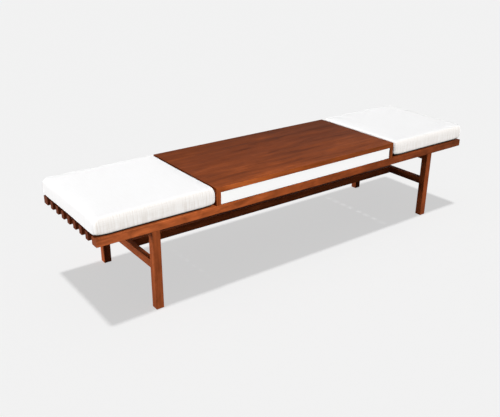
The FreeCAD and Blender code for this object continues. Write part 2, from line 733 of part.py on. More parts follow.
def soft_edge(inset, height):
    """A quarter ellipse from a level face round to an upright one, as insets and heights."""
    turns = [math.pi / 2 * step / EDGE_STEPS for step in range(EDGE_STEPS + 1)]
    return [(inset * (1 - math.sin(turn)), height * (1 - math.cos(turn))) for turn in turns]


def cushion_profile():
    """The inset and level of each outline of a cushion, from its bottom to its crown."""
    thick = size("cushion_thickness")
    shoulder = size("cushion_shoulder_inset")
    foot = soft_edge(size("cushion_foot_inset"), size("cushion_foot_height"))
    top = soft_edge(shoulder, size("cushion_shoulder_height"))
    profile = foot + [(inset, thick - depth) for inset, depth in reversed(top)]
    for step in range(1, CROWN_STEPS + 1):
        share = step / CROWN_STEPS
        rise = size("cushion_crown") * (1 - (1 - share) ** 2)
        profile.append((shoulder + share * size("cushion_crown_reach"), thick + rise))
    return profile


def cushion(label, end):
    """A box cushion with soft edges and a low crown."""
    outlines = [cushion_outline(inset, level) for inset, level in cushion_profile()]
    pad_solid = doc.addObject("Part::Feature", label)
    pad_solid.Shape = Part.makeLoft(outlines, True, True)
    place(pad_solid, x=f"{end} * (Dims.cushion_reach - Dims.cushion_length / 2)",
          z="Dims.deck_height + Dims.cushion_lift")
    finish(pad_solid, label)


def build():
    """Make every piece of the bench."""
    deck_rail("front_rail", -1, 0)
    deck_rail("rear_rail", 1, HALF_TURN)
    for number in range(1, int(size("slat_count")) + 1):
        slat(number)
    centre_batten()
    leg("front_left_leg", -1, -1, 0)
    leg("front_right_leg", 1, -1, 0)
    leg("rear_left_leg", -1, 1, HALF_TURN)
    leg("rear_right_leg", 1, 1, HALF_TURN)
    top_rail("left_top_rail", -1)
    top_rail("right_top_rail", 1)
    cross_stretcher("left_cross_stretcher", -1, QUARTER_TURN)
    cross_stretcher("right_cross_stretcher", 1, -QUARTER_TURN)
    long_stretcher()
    leg_dowels()
    slat_screws("left_frame_screws", -1, "Dims.rail_height", "Dims.top_rail_recess", False)
    slat_screws("right_frame_screws", 1, "Dims.rail_height", "Dims.top_rail_recess", False)
    slat_screws("batten_screws", 0, "Dims.batten_thickness", "Dims.batten_recess", True)
    table_top()
    table_side("table_left_side", -1, 0)
    table_side("table_right_side", 1, HALF_TURN)
    table_back()
    runner("left_drawer_runner", -1, QUARTER_TURN)
    runner("right_drawer_runner", 1, -QUARTER_TURN)
    runner_screws()
    locating_block("left_locating_block", -1)
    locating_block("right_locating_block", 1)
    drawer_stop("left_drawer_stop", -1)
    drawer_stop("right_drawer_stop", 1)
    drawer_front()
    drawer_side("drawer_left_side", -1, -QUARTER_TURN)
    drawer_side("drawer_right_side", 1, QUARTER_TURN)
    drawer_back()
    drawer_floor()
    drawer_screws()
    finger_batten()
    cushion("left_cushion", -1)
    cushion("right_cushion", 1)
    doc.recompute()


def check():
    """Stop if any feature failed or any piece has no sound solid."""
    for thing in doc.Objects:
        if "Invalid" in thing.State or "Error" in thing.State:
            raise RuntimeError(f"{thing.Label} is {thing.State}")
    for thing in finished:
        if thing.Shape.isNull() or not thing.Shape.isValid() or not thing.Shape.Solids:
            raise RuntimeError(f"{thing.Label} has no sound solid")


def export():
    """Write each piece as its own file."""
    os.makedirs(PARTS_FOLDER, exist_ok=True)
    for thing in finished:
        thing.Shape.exportStep(f"{PARTS_FOLDER}/{thing.Label}.step")
        box = thing.Shape.BoundBox
        print(f"{thing.Label}: {len(thing.Shape.Solids)} solid, {thing.Shape.Volume / 1000:.1f} cm3,",
              f"x {box.XMin:.1f} to {box.XMax:.1f}, y {box.YMin:.1f} to {box.YMax:.1f},",
              f"z {box.ZMin:.1f} to {box.ZMax:.1f}")


build()
check()
export()
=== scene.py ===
import json
import math

import bpy
from mathutils import Matrix, Vector


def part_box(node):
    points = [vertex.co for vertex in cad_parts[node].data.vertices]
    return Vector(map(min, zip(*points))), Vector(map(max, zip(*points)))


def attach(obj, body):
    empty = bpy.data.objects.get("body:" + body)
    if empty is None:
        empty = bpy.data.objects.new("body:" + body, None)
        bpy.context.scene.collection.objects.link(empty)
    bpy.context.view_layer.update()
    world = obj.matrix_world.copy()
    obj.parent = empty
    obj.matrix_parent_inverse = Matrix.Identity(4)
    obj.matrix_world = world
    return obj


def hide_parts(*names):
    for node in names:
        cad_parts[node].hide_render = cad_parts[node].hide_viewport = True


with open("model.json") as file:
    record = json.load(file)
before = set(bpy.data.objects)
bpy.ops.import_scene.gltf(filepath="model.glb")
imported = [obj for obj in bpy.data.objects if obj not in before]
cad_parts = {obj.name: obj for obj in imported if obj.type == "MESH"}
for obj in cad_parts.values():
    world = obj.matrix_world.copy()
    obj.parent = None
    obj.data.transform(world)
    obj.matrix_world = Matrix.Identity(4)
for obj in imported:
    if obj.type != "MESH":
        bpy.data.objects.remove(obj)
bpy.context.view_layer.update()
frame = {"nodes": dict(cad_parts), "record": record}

# Slatted platform bench with two loose box cushions and a low table box with one drawer.
# Everything is in metres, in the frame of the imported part: +X along the bench, the drawer
# faces -Y, +Z up, the floor at zero.

# The photograph's width, and the camera that its straight edges give. The width and the focal
# length are in pixels, the sensor in millimetres and the turns in degrees.
PHOTO_WIDTH = 500
FOCAL_PIXELS = 643.0
SENSOR = 36.0
CAMERA_PLACE = (-1.8802, -2.2912, 1.4281)
CAMERA_YAW = 36.79
CAMERA_PITCH = 23.39
CAMERA_ROLL = 0.49
NEAR_CLIP = 0.05
FAR_CLIP = 200

# Light: an even dim sky, and four soft lamps that light everything but the floor. A lamp almost
# straight above lights the floor alone, and gives the flat shadow on it. Each lamp has the
# direction that it shines from, as degrees from the front towards the left and degrees above
# level, the width of its disc in degrees, and its strength. Its distance changes nothing in its
# light. The backdrop and the floor's glow are only seen, straight or in reflections.
SKY_COLOUR = (1, 1, 1)
SKY_STRENGTH = 0.125
BACKDROP = (0.888, 0.888, 0.888)
LAMPS = {
    "front_lamp": (-10, 44, 10, 3.40),
    "left_lamp": (100, 12, 12, 2.6),
    "back_lamp": (160, 6, 10, 1.2),
    "right_lamp": (265, 6, 10, 1.0),
}
FLOOR_LAMP = (90, 85.4, 4.0, 2.4)
LAMP_DISTANCE = 4
FLOOR_SIZE = 80
FLOOR_COLOUR = (0.35, 0.35, 0.35)
FLOOR_GLOW = 0.574

# Wood colours: the light, middle and dark streaks of each kind, and the values of the noise of
# streaks at which they show
RAIL_TONES = ((0.46, 0.118, 0.034), (0.34, 0.082, 0.024), (0.20, 0.048, 0.014))
FRAME_TONES = ((0.40, 0.098, 0.030), (0.285, 0.067, 0.020), (0.165, 0.039, 0.012))
TABLE_TONES = ((0.25, 0.057, 0.0145), (0.183, 0.040, 0.0105), (0.115, 0.025, 0.007))
INNER_TONES = ((0.62, 0.42, 0.24), (0.52, 0.33, 0.17), (0.38, 0.22, 0.10))
DARK_UP_TO = 0.32
MIDDLE_FROM = 0.47
MIDDLE_UP_TO = 0.55
LIGHT_FROM = 0.70

# The name, the colours and the roughness of the wood in each slot
WOODS = {
    "frame_wood": ("frame", FRAME_TONES, 0.42),
    "table_wood": ("table", TABLE_TONES, 0.40),
    "inner_wood": ("inner", INNER_TONES, 0.55),
}
# The pieces whose grain runs across the bench, and those whose grain stands upright. It runs
# along the bench in all the others.
ACROSS = {"centre_batten", "left_top_rail", "right_top_rail", "left_cross_stretcher",
          "right_cross_stretcher", "left_drawer_runner", "right_drawer_runner",
          "drawer_left_side", "drawer_right_side"}
UPRIGHT = {"front_left_leg", "front_right_leg", "rear_left_leg", "rear_right_leg",
           "leg_dowels", "table_left_side", "table_right_side"}

# How the tone of a board drifts along an axis: a place and a colour to multiply by. The front
# rail darkens towards the right, partly its own tone and partly painted shade as the light falls
# off; the frame is painted darker towards the right the same way. The table box is painted
# lighter towards its front and its left, painted light and sheen, and the edging along the front
# is lighter still, a painted highlight.
# Partly the rail's own tone, partly painted shade as the light falls off towards the right
RAIL_TONE_AND_PAINTED_FALLOFF = (("X", ((-1.067, (1.16, 1.18, 1.27)), (-0.55, (1.27, 1.25, 1.16)),
                     (-0.15, (0.90, 0.86, 0.78)), (0.35, (0.71, 0.67, 0.66)),
                     (0.65, (0.65, 0.62, 0.66)), (1.067, (0.43, 0.46, 0.54)))),)
# Painted shade: the frame darkens towards the right as the light falls off
FRAME_PAINTED_FALLOFF = (("X", ((-1.067, (1.0, 1.0, 1.02)), (0.0, (1.0, 1.0, 1.0)),
                      (1.067, (0.84, 0.80, 0.78)))),)
# Painted light and sheen: the table box is lighter towards its front and its left
TABLE_PAINTED_LIGHT = (("Y", ((-0.264, (1.42, 1.44, 1.25)), (-0.14, (1.14, 1.14, 1.02)),
                      (0.06, (0.91, 0.87, 0.74)), (0.264, (0.74, 0.66, 0.30)))),
               ("X", ((-0.535, (1.06, 1.06, 1.06)), (0.0, (1.0, 1.0, 1.0)),
                      (0.523, (0.76, 0.76, 0.76)))))
# Painted highlight on the front edging, brightest near its left end and fading to the right
EDGING_PAINTED_HIGHLIGHT = ((-0.535, (1.28, 1.32, 1.45)), (-0.50, (1.28, 1.32, 1.45)),
                (-0.46, (1.75, 1.90, 2.0)), (0.0, (1.12, 1.18, 1.18)),
                (0.523, (1.08, 1.20, 1.40)))
# How far to the front a point has to be for the edging's tone to start, and to be all there is
EDGING_START = -0.2632
EDGING_FULL = -0.2636

# The boards across the frame are darker than the ones along it. One leg has a lighter copy of the
# frame wood: painted light that lifts the shade falling on it.
CROSS_SHADE = 0.84
PAINTED_LIGHT_LEG = "rear_left_leg"
PAINTED_LIGHT_ON_LEG = 1.40

# Where the grain of the front rail and of the table box starts, how far apart in it the pieces
# of one kind may be cut, and the share of that along the grain and both ways across it
RAIL_SEED = 3.37
TABLE_SEED = 5.61
BOARD_SPREAD = 17.0
BOARD_SHIFTS = (1.0, 1.7, 2.3)

# The figure of wood is made of noises: how much each is squeezed along and across the grain,
# its detail, its roughness and its distortion
STREAKS = ((2.6, 21.0, 21.0), 3.0, 0.6, 0.5)
LINES = ((6.0, 95.0, 95.0), 2.0, 0.55, 0.3)
MOTTLE = ((17.0, 30.0, 30.0), 2.0, 0.55, 0.5)
FIBRES = ((14.0, 620.0, 620.0), 2.0, 0.6, 0.0)
PORES = ((75.0, 1500.0, 1500.0), 1.0, 0.5, 0.0)
SHEEN = ((3.0, 40.0, 40.0), 2.0, 0.5, 0.0)
WAVE_SQUEEZE = (0.35, 5.5, 5.5)
WAVES = {"Scale": 4.0, "Distortion": 5.0, "Detail": 3.0, "Detail Scale": 1.4}

# What each layer of the figure multiplies the colour by, and how strongly. Here and below, the
# stops of a ramp are a value and the grey or colour that it gives.
WAVE_TONES = ((0.0, 0.80), (0.35, 0.97), (1.0, 1.0))
LINE_TONES = ((0.30, 0.74), (0.48, 0.98), (0.75, 1.10))
MOTTLE_TONES = ((0.28, 0.72), (0.50, 0.97), (0.72, 1.22))
FIBRE_TONES = ((0.25, 0.84), (0.60, 1.0), (0.85, 1.08))
PORE_MASK = ((0.66, 0.0), (0.74, 1.0))
WAVE_SHARE = 0.75
LINE_SHARE = 0.85
FIBRE_SHARE = 0.8
PORE_SHARE = 0.55
MOTTLING = 0.8
RAIL_MOTTLING = 1.0
TABLE_MOTTLING = 0.35

# Sawn ends: where a face counts as one, the rings on it, how far their centre is moved, their
# speckle, and what the front rail's ends and all the others are multiplied by
END_FACING = ((0.75, 0.0), (0.85, 1.0))
RINGS = {"Scale": 48.0, "Distortion": 1.2, "Detail": 2.0, "Detail Scale": 0.6}
RING_SHIFT = 0.05
RING_MIDDLE = 0.7
SPECKLE = ((900.0, 900.0, 900.0), 1.0)
SPECKLE_TONES = ((0.35, 0.55), (0.60, 1.0))
SPECKLE_SHARE = 0.5
RAIL_END_TONE = (0.85, 0.85, 0.90)
END_TONE = (0.56, 0.58, 0.68)

# Rubbed arrises: how far they reach, how far a rounded face turns there, the patches that they
# show in, and what they are multiplied by
WORN_EDGE = 0.003
WORN_FACING = ((0.80, 1.0), (0.99, 0.0))
WORN_PATCH_SCALE = 35.0
WORN_PATCHES = ((0.35, 0.25), (0.65, 1.0))
WORN_TONE = (1.30, 1.30, 1.35)
BEVEL_SAMPLES = 4

# The finish of wood: how far its roughness strays either way, the height of its fibres against
# the depth of its pores, and its gloss. A bump is a strength and a distance.
SMOOTHER = 0.06
ROUGHER = 0.10
FIBRE_RELIEF = 0.4
WOOD_BUMP = (0.25, 0.0002)
WOOD_SPECULAR = 0.012

# White laminate and the steel of the screws
LAMINATE = (0.96, 0.96, 0.955)
CLOUDS = ((3.0, 3.0, 9.0), 3.0)
CLOUD_TONES = ((0.3, 0.965), (0.7, 1.0))
LAMINATE_ROUGHNESS = (0.30, 0.42)
GRIT_SCALE = 700.0
GRIT_BUMP = (0.08, 0.0001)
STEEL = (0.45, 0.44, 0.42)
SCUFF_SCALE = 900.0
SCUFF_DETAIL = 3.0
SCUFF_TONES = ((0.3, 0.75), (0.7, 1.05))
STEEL_ROUGHNESS = (0.32, 0.55)

# Linen: where a face counts as an end or as the top, the slubs of its warp and weft, the colours
# of its threads, and its plain tone from left to right, painted darker towards the right as the
# light falls off. The threads show on upright faces and rims, where their darker tones are partly
# painted shade, and the plain tone on the top and the ends is partly painted light. The underside
# is painted dark: a painted shade.
END_FROM = 0.72
TOP_FROM = 0.70
WARP = ((190.0, 11.0, 1.0), 3.0, 0.6)
WEFT = ((16.0, 260.0, 1.0), 2.0, 0.6)
WARP_SHARE = 0.78
WEFT_SHARE = 0.22
FABRIC_DARK = (0.745, 0.700, 0.655)
FABRIC_LIGHT = (0.888, 0.868, 0.846)
THREAD_TONES = ((0.34, FABRIC_DARK), (0.60, FABRIC_LIGHT))
# The plain tone is painted darker towards the right as the light falls off
PLAIN_TONE_PAINTED_FALLOFF = ((-0.60, (0.843, 0.845, 0.852)), (0.60, (0.774, 0.778, 0.784)))
PLAIN_ON_TOP = ((0.45, 0.0), (0.97, 0.88))
PLAIN_ON_ENDS = ((0.35, 0.0), (0.85, 0.75))
UNDERSIDE_PAINTED_SHADE = (0.045, 0.036, 0.030)
UNDERSIDE_SHADE_RAMP = ((0.35, 0.0), (0.55, 1.0))
WEAVE = {"Scale": 150.0, "Distortion": 1.5, "Detail": 1.0, "Detail Scale": 0.2}
WEAVE_RELIEF = 0.6
SLUB_RELIEF = 1.6
FABRIC_BUMP = (0.35, 0.0006)
FABRIC_FINISH = {"Roughness": 0.95, "Specular IOR Level": 0.15, "Sheen Weight": 0.15,
                 "Sheen Roughness": 0.5}

# Cushions: how far inside their solids the covers start, before they swell
CUSHION_START = 0.004
# Seen from above, the radius of a corner and how far the sides draw in between two of them
CORNER = 0.016
CORNER_STEPS = 8
SIDE_STEPS = 16
DRAW = 0.002
# In section, the underside curls up near its edge, and a round foot, a round shoulder and a low
# crown follow
EDGE_STEPS = 8
BELLY_REACH = 0.040
BELLY_RISE = 0.007
FOOT_INSET = 0.005
FOOT_HEIGHT = 0.009
SHOULDER_INSET = 0.013
SHOULDER_HEIGHT = 0.030
CROWN = 0.003
CROWN_REACH = 0.140
CROWN_STEPS = 8
# How far the lower corners lift, and over what distance
CORNER_LIFT = 0.007
CORNER_LIFT_REACH = 0.070
# The cloth: the size of its quads, its simulation, the cap on how far a point may move, and how
# often the moves are evened out
VOXEL = 0.006
CLOTH_FRAMES = 20
CLOTH_PRESSURE = 4.0
CLOTH_CAP = 0.003
SMOOTH_STEPS = 30
# How far the top of each cover falls towards its left end and towards its front, and how the
# swelling of the fabric moves the low and the high corner of its box from the solid's
TOP_FALL = {"left_cushion": (0.003, 0.0), "right_cushion": (0.0, 0.004)}
SWELL = {"left_cushion": ((-0.003, -0.006, 0), (0, 0.002, 0.002)),
         "right_cushion": ((-0.007, -0.005, 0), (-0.002, 0.002, 0.005))}


# Node trees

def set_inputs(tree, node, inputs):
    """Give inputs of a node a number, a colour, a vector or a link each."""
    for name, value in inputs.items():
        socket = node.inputs[name]
        if isinstance(value, bpy.types.NodeSocket):
            tree.links.new(value, socket)
        elif socket.type == "RGBA":
            socket.default_value = (*value, 1)
        else:
            socket.default_value = value


def add_node(tree, kind, inputs=None, **settings):
    """A node of a tree, with its settings and its inputs."""
    made = tree.nodes.new(kind)
    for name, value in settings.items():
        setattr(made, name, value)
    set_inputs(tree, made, inputs or {})
    return made


def calculate(tree, operation, first, second=0.0, third=0.0):
    """One step of arithmetic on sockets or numbers."""
    made = add_node(tree, "ShaderNodeMath", {0: first, 1: second, 2: third}, operation=operation)
    return made.outputs[0]


def blend_colours(tree, share, first, second, how="MIX"):
    """The second colour over the first, by a share."""
    made = add_node(tree, "ShaderNodeMix", {0: share, 6: first, 7: second},
                    data_type="RGBA", blend_type=how)
    return made.outputs[2]


def toned(tree, colour, tone, share=1.0):
    """A colour multiplied by a tone, by a share."""
    return blend_colours(tree, share, colour, tone, "MULTIPLY")


def blend_numbers(tree, share, first, second):
    """The second number over the first, by a share."""
    return add_node(tree, "ShaderNodeMix", {0: share, 2: first, 3: second}).outputs[0]


def ramp(tree, share, stops):
    """A colour ramp, whose stops are a place and a colour or grey."""
    made = add_node(tree, "ShaderNodeValToRGB", {"Fac": share})
    elements = made.color_ramp.elements
    while len(elements) < len(stops):
        elements.new(0.5)
    for element, (place, colour) in zip(elements, stops):
        element.position = place
        element.color = (colour, colour, colour, 1) if isinstance(colour, float) else (*colour, 1)
    return made.outputs["Color"]


def from_range(tree, value, start, end):
    """Zero where a value is at the start of a range, and one at its end."""
    made = add_node(tree, "ShaderNodeMapRange", {"Value": value, "From Min": start, "From Max": end})
    return made.outputs["Result"]


def to_range(tree, value, low, high):
    """A value from zero to one, spread over a range."""
    made = add_node(tree, "ShaderNodeMapRange", {"Value": value, "To Min": low, "To Max": high})
    return made.outputs["Result"]


def along_axis(tree, coordinate, stops):
    """A colour that changes along one axis, whose stops are in metres."""
    start = stops[0][0]
    end = stops[-1][0]
    return ramp(tree, from_range(tree, coordinate, start, end),
                [((place - start) / (end - start), colour) for place, colour in stops])


def squeezed(tree, vector, factors):
    """The coordinates multiplied by a factor each way."""
    made = add_node(tree, "ShaderNodeVectorMath", {0: vector, 1: factors}, operation="MULTIPLY")
    return made.outputs[0]


def noise(tree, vector, scale, detail=2.0, roughness=0.5, distortion=0.0):
    """The value of a noise texture. Its scale is a number, or a factor each way."""
    if isinstance(scale, tuple):
        vector = squeezed(tree, vector, scale)
        scale = 1.0
    made = add_node(tree, "ShaderNodeTexNoise",
                    {"Vector": vector, "Scale": scale, "Detail": detail, "Roughness": roughness,
                     "Distortion": distortion})
    return made.outputs["Fac"]


def wave(tree, vector, numbers, **settings):
    """The value of a wave texture."""
    made = add_node(tree, "ShaderNodeTexWave", {"Vector": vector, **numbers}, **settings)
    return made.outputs["Fac"]


def bump(tree, height, strength, distance):
    """The normal of a surface with a fine relief."""
    made = add_node(tree, "ShaderNodeBump",
                    {"Height": height, "Strength": strength, "Distance": distance})
    return made.outputs["Normal"]


def object_place(tree):
    """The place of a point in its piece's own coordinates."""
    return add_node(tree, "ShaderNodeTexCoord").outputs["Object"]


def surface_normal(tree):
    """The way that the surface faces."""
    return add_node(tree, "ShaderNodeNewGeometry").outputs["Normal"]


def parts_of(tree, vector):
    """The three numbers of a vector, by the names of their axes."""
    return add_node(tree, "ShaderNodeSeparateXYZ", {0: vector}).outputs


def from_parts(tree, parts):
    """The vector of two or three numbers."""
    return add_node(tree, "ShaderNodeCombineXYZ", dict(enumerate(parts))).outputs[0]


def new_material(name):
    """A node material, its tree and its shader."""
    material = bpy.data.materials.new(name)
    material.use_nodes = True
    return material, material.node_tree, material.node_tree.nodes["Principled BSDF"]


# Wood

def board_place(tree, place, chance, seed):
    """The place in the grain that a piece is cut from. The first axis runs along the grain."""
    shift = calculate(tree, "MULTIPLY_ADD", chance, BOARD_SPREAD, seed)
    shifted = [calculate(tree, "ADD", part, calculate(tree, "MULTIPLY", shift, factor))
               for part, factor in zip(place, BOARD_SHIFTS)]
    return from_parts(tree, shifted)


def figured(tree, grain, tones, mottling):
    """The colour of planed wood and the height of its fibres and pores.

    Broad streaks and a wavy figure come first, then thin lines, mottling, fibres and pores.
    """
    light, middle, dark = tones
    colour = ramp(tree, noise(tree, grain, *STREAKS),
                  ((DARK_UP_TO, dark), (MIDDLE_FROM, middle), (MIDDLE_UP_TO, middle),
                   (LIGHT_FROM, light)))
    waves = wave(tree, squeezed(tree, grain, WAVE_SQUEEZE), WAVES, bands_direction="Y")
    colour = toned(tree, colour, ramp(tree, waves, WAVE_TONES), WAVE_SHARE)
    lines = noise(tree, grain, *LINES)
    colour = toned(tree, colour, ramp(tree, lines, LINE_TONES), LINE_SHARE)
    mottle = noise(tree, grain, *MOTTLE)
    colour = toned(tree, colour, ramp(tree, mottle, MOTTLE_TONES), mottling)
    fibres = noise(tree, grain, *FIBRES)
    colour = toned(tree, colour, ramp(tree, fibres, FIBRE_TONES), FIBRE_SHARE)
    pores = ramp(tree, noise(tree, grain, *PORES), PORE_MASK)
    colour = blend_colours(tree, calculate(tree, "MULTIPLY", pores, PORE_SHARE), colour, dark)
    height = calculate(tree, "SUBTRACT", calculate(tree, "MULTIPLY", fibres, FIBRE_RELIEF), pores)
    return colour, height


def drifted(tree, colour, split, drift, edging):
    """A colour whose tone drifts along the axes, with a drift of its own on the front edging."""
    # The drifts are mostly painted light and shade, and a painted highlight on the edging
    for axis, stops in drift:
        colour = toned(tree, colour, along_axis(tree, split[axis], stops))
    if edging:
        front = from_range(tree, split["Y"], EDGING_START, EDGING_FULL)
        shade = along_axis(tree, split["X"], edging)
        colour = blend_colours(tree, front, colour, toned(tree, colour, shade))
    return colour


def sawn(tree, place, across, chance, tones, end_tone):
    """The colour of a sawn end, with rings round a centre off the piece."""
    middle, dark = tones[1:]
    first = calculate(tree, "ADD", across[0], calculate(tree, "MULTIPLY", chance, RING_SHIFT))
    second = calculate(tree, "ADD", across[1], RING_SHIFT)
    rings = wave(tree, from_parts(tree, (first, second)), RINGS,
                 wave_type="RINGS", rings_direction="Z")
    colour = ramp(tree, rings, ((0.0, dark), (RING_MIDDLE, middle), (1.0, middle)))
    colour = toned(tree, colour, end_tone)
    speckle = noise(tree, place, *SPECKLE)
    return toned(tree, colour, ramp(tree, speckle, SPECKLE_TONES), SPECKLE_SHARE)


def rubbed(tree, colour, place, normal):
    """A colour that is a little paler along the arrises, in patches."""
    rounded = add_node(tree, "ShaderNodeBevel", {"Radius": WORN_EDGE}, samples=BEVEL_SAMPLES)
    same = add_node(tree, "ShaderNodeVectorMath", {0: rounded.outputs[0], 1: normal},
                    operation="DOT_PRODUCT").outputs["Value"]
    edge = ramp(tree, same, WORN_FACING)
    patches = ramp(tree, noise(tree, place, WORN_PATCH_SCALE), WORN_PATCHES)
    worn = calculate(tree, "MULTIPLY", edge, patches)
    return blend_colours(tree, worn, colour, toned(tree, colour, WORN_TONE))


def wood(name, along, tones, roughness, mottling=MOTTLING, seed=0.0, drift=(), edging=(),
         end_tone=END_TONE):
    """Oiled wood whose grain runs along one axis, with rings on the sawn ends of a piece."""
    material, tree, shader = new_material(name)
    place = object_place(tree)
    split = parts_of(tree, place)
    normal = surface_normal(tree)
    facing = parts_of(tree, normal)
    chance = add_node(tree, "ShaderNodeObjectInfo").outputs["Random"]
    across = [split[axis] for axis in ("X", "Y", "Z") if axis != along]
    grain = board_place(tree, (split[along], *across), chance, seed)

    colour, height = figured(tree, grain, tones, mottling)
    colour = drifted(tree, colour, split, drift, edging)
    is_end = ramp(tree, calculate(tree, "ABSOLUTE", facing[along]), END_FACING)
    end = sawn(tree, place, across, chance, tones, end_tone)
    colour = blend_colours(tree, is_end, colour, end)
    colour = rubbed(tree, colour, place, normal)

    sheen = noise(tree, grain, *SHEEN)
    set_inputs(tree, shader, {
        "Base Color": colour,
        "Roughness": to_range(tree, sheen, roughness - SMOOTHER, roughness + ROUGHER),
        "Normal": bump(tree, height, *WOOD_BUMP),
        "Specular IOR Level": WOOD_SPECULAR,
    })
    return material


def wood_of(node, slot_name, made):
    """The wood of a piece. All of one kind whose grain runs the same way share theirs.

    The front rail has a wood of its own, and so has the leg painted lighter to lift its shade.
    """
    along = "Y" if node in ACROSS else "Z" if node in UPRIGHT else "X"
    kind, tones, roughness = WOODS[slot_name]
    name = f"{kind}_wood_{along}"
    more = {}
    if kind == "table":
        more = {"mottling": TABLE_MOTTLING, "seed": TABLE_SEED, "drift": TABLE_PAINTED_LIGHT,
                "edging": EDGING_PAINTED_HIGHLIGHT}
    elif node == "front_rail":
        name = "frame_wood_rail"
        tones = RAIL_TONES
        more = {"mottling": RAIL_MOTTLING, "seed": RAIL_SEED, "drift": RAIL_TONE_AND_PAINTED_FALLOFF,
                "end_tone": RAIL_END_TONE}
    elif kind == "frame":
        more = {"drift": FRAME_PAINTED_FALLOFF}
        shade = CROSS_SHADE if along == "Y" else 1.0
        # Painted light: this leg's wood is lighter to lift the shade on it
        if node == PAINTED_LIGHT_LEG:
            name = f"{name}_painted_light"
            shade = PAINTED_LIGHT_ON_LEG
        tones = [tuple(shade * part for part in tone) for tone in tones]
    if name not in made:
        made[name] = wood(name, along, tones, roughness, **more)
    return made[name]


# Other materials

def laminate():
    """White laminate with a faint cloudy tone and a satin face."""
    material, tree, shader = new_material("white_laminate")
    place = object_place(tree)
    clouds = noise(tree, place, *CLOUDS)
    set_inputs(tree, shader, {
        "Base Color": toned(tree, LAMINATE, ramp(tree, clouds, CLOUD_TONES)),
        "Roughness": to_range(tree, clouds, *LAMINATE_ROUGHNESS),
        "Normal": bump(tree, noise(tree, place, GRIT_SCALE), *GRIT_BUMP),
    })
    return material


def steel():
    """Dull zinc-plated steel of the screws."""
    material, tree, shader = new_material("screw_steel")
    scuffs = noise(tree, object_place(tree), SCUFF_SCALE, SCUFF_DETAIL)
    set_inputs(tree, shader, {
        "Base Color": toned(tree, STEEL, ramp(tree, scuffs, SCUFF_TONES)),
        "Roughness": to_range(tree, scuffs, *STEEL_ROUGHNESS),
        "Metallic": 1.0,
    })
    return material


def linen():
    """Off-white slubby linen. The threads follow whichever way the surface faces."""
    material, tree, shader = new_material("cushion_fabric")
    split = parts_of(tree, object_place(tree))
    facing = parts_of(tree, surface_normal(tree))
    sideways = calculate(tree, "ABSOLUTE", facing["X"])
    on_end = calculate(tree, "GREATER_THAN", sideways, END_FROM)
    on_top = calculate(tree, "GREATER_THAN", calculate(tree, "ABSOLUTE", facing["Z"]), TOP_FROM)
    across = blend_numbers(tree, on_end, split["X"], split["Y"])
    depth = blend_numbers(tree, on_end, split["Y"], split["X"])
    up = blend_numbers(tree, on_top, split["Z"], depth)
    cloth = from_parts(tree, (across, up))

    warp = calculate(tree, "MULTIPLY", noise(tree, cloth, *WARP), WARP_SHARE)
    weft = calculate(tree, "MULTIPLY", noise(tree, cloth, *WEFT), WEFT_SHARE)
    slubs = calculate(tree, "ADD", warp, weft)
    # The top and ends take the plain tone, partly painted light; upright faces and rims keep the
    # darker thread tones, partly painted shade
    plainness = calculate(tree, "MAXIMUM", ramp(tree, facing["Z"], PLAIN_ON_TOP),
                          ramp(tree, sideways, PLAIN_ON_ENDS))
    colour = blend_colours(tree, plainness, ramp(tree, slubs, THREAD_TONES),
                           along_axis(tree, split["X"], PLAIN_TONE_PAINTED_FALLOFF))
    # Painted shade: the underside of the cover is painted dark
    below = ramp(tree, calculate(tree, "MULTIPLY", facing["Z"], -1.0), UNDERSIDE_SHADE_RAMP)
    colour = blend_colours(tree, below, colour, UNDERSIDE_PAINTED_SHADE)

    threads = [wave(tree, cloth, WEAVE, bands_direction=direction) for direction in ("X", "Y")]
    weave = calculate(tree, "MULTIPLY", calculate(tree, "MAXIMUM", *threads), WEAVE_RELIEF)
    height = calculate(tree, "ADD", weave, calculate(tree, "MULTIPLY", slubs, SLUB_RELIEF))
    set_inputs(tree, shader, {"Base Color": colour, "Normal": bump(tree, height, *FABRIC_BUMP),
                              **FABRIC_FINISH})
    return material


def dress(piece, material):
    """Give a piece one material all over."""
    piece.data.materials.clear()
    piece.data.materials.append(material)


def paint_nodes():
    """Give every carried-over piece its finish."""
    plain = {"white_laminate": laminate(), "screw_steel": steel()}
    made = {}
    slots = {row["node"]: row["material_slot"] for row in frame["record"]["subparts"]}
    for node, piece in frame["nodes"].items():
        slot_name = slots[node]
        if slot_name in plain:
            dress(piece, plain[slot_name])
        elif slot_name in WOODS:
            dress(piece, wood_of(node, slot_name, made))


# Cushions

def outline(half, inset):
    """One level of a cushion: four round corners, and sides that draw in between them."""
    length = half.x - inset
    depth = half.y - inset
    corner = CORNER + inset / 2
    points = []
    for turn, (side_x, side_y) in enumerate(((1, 1), (-1, 1), (-1, -1), (1, -1))):
        for step in range(CORNER_STEPS + 1):
            angle = math.pi / 2 * (turn + step / CORNER_STEPS)
            points.append((side_x * (length - corner) + corner * math.cos(angle),
                           side_y * (depth - corner) + corner * math.sin(angle)))
        ahead_x, ahead_y = points[-1]
        for step in range(1, SIDE_STEPS):
            share = step / SIDE_STEPS
            sag = DRAW * math.sin(math.pi * share) ** 2
            if turn % 2 == 0:
                points.append((ahead_x * (1 - 2 * share), ahead_y - side_y * sag))
            else:
                points.append((ahead_x - side_x * sag, ahead_y * (1 - 2 * share)))
    return points


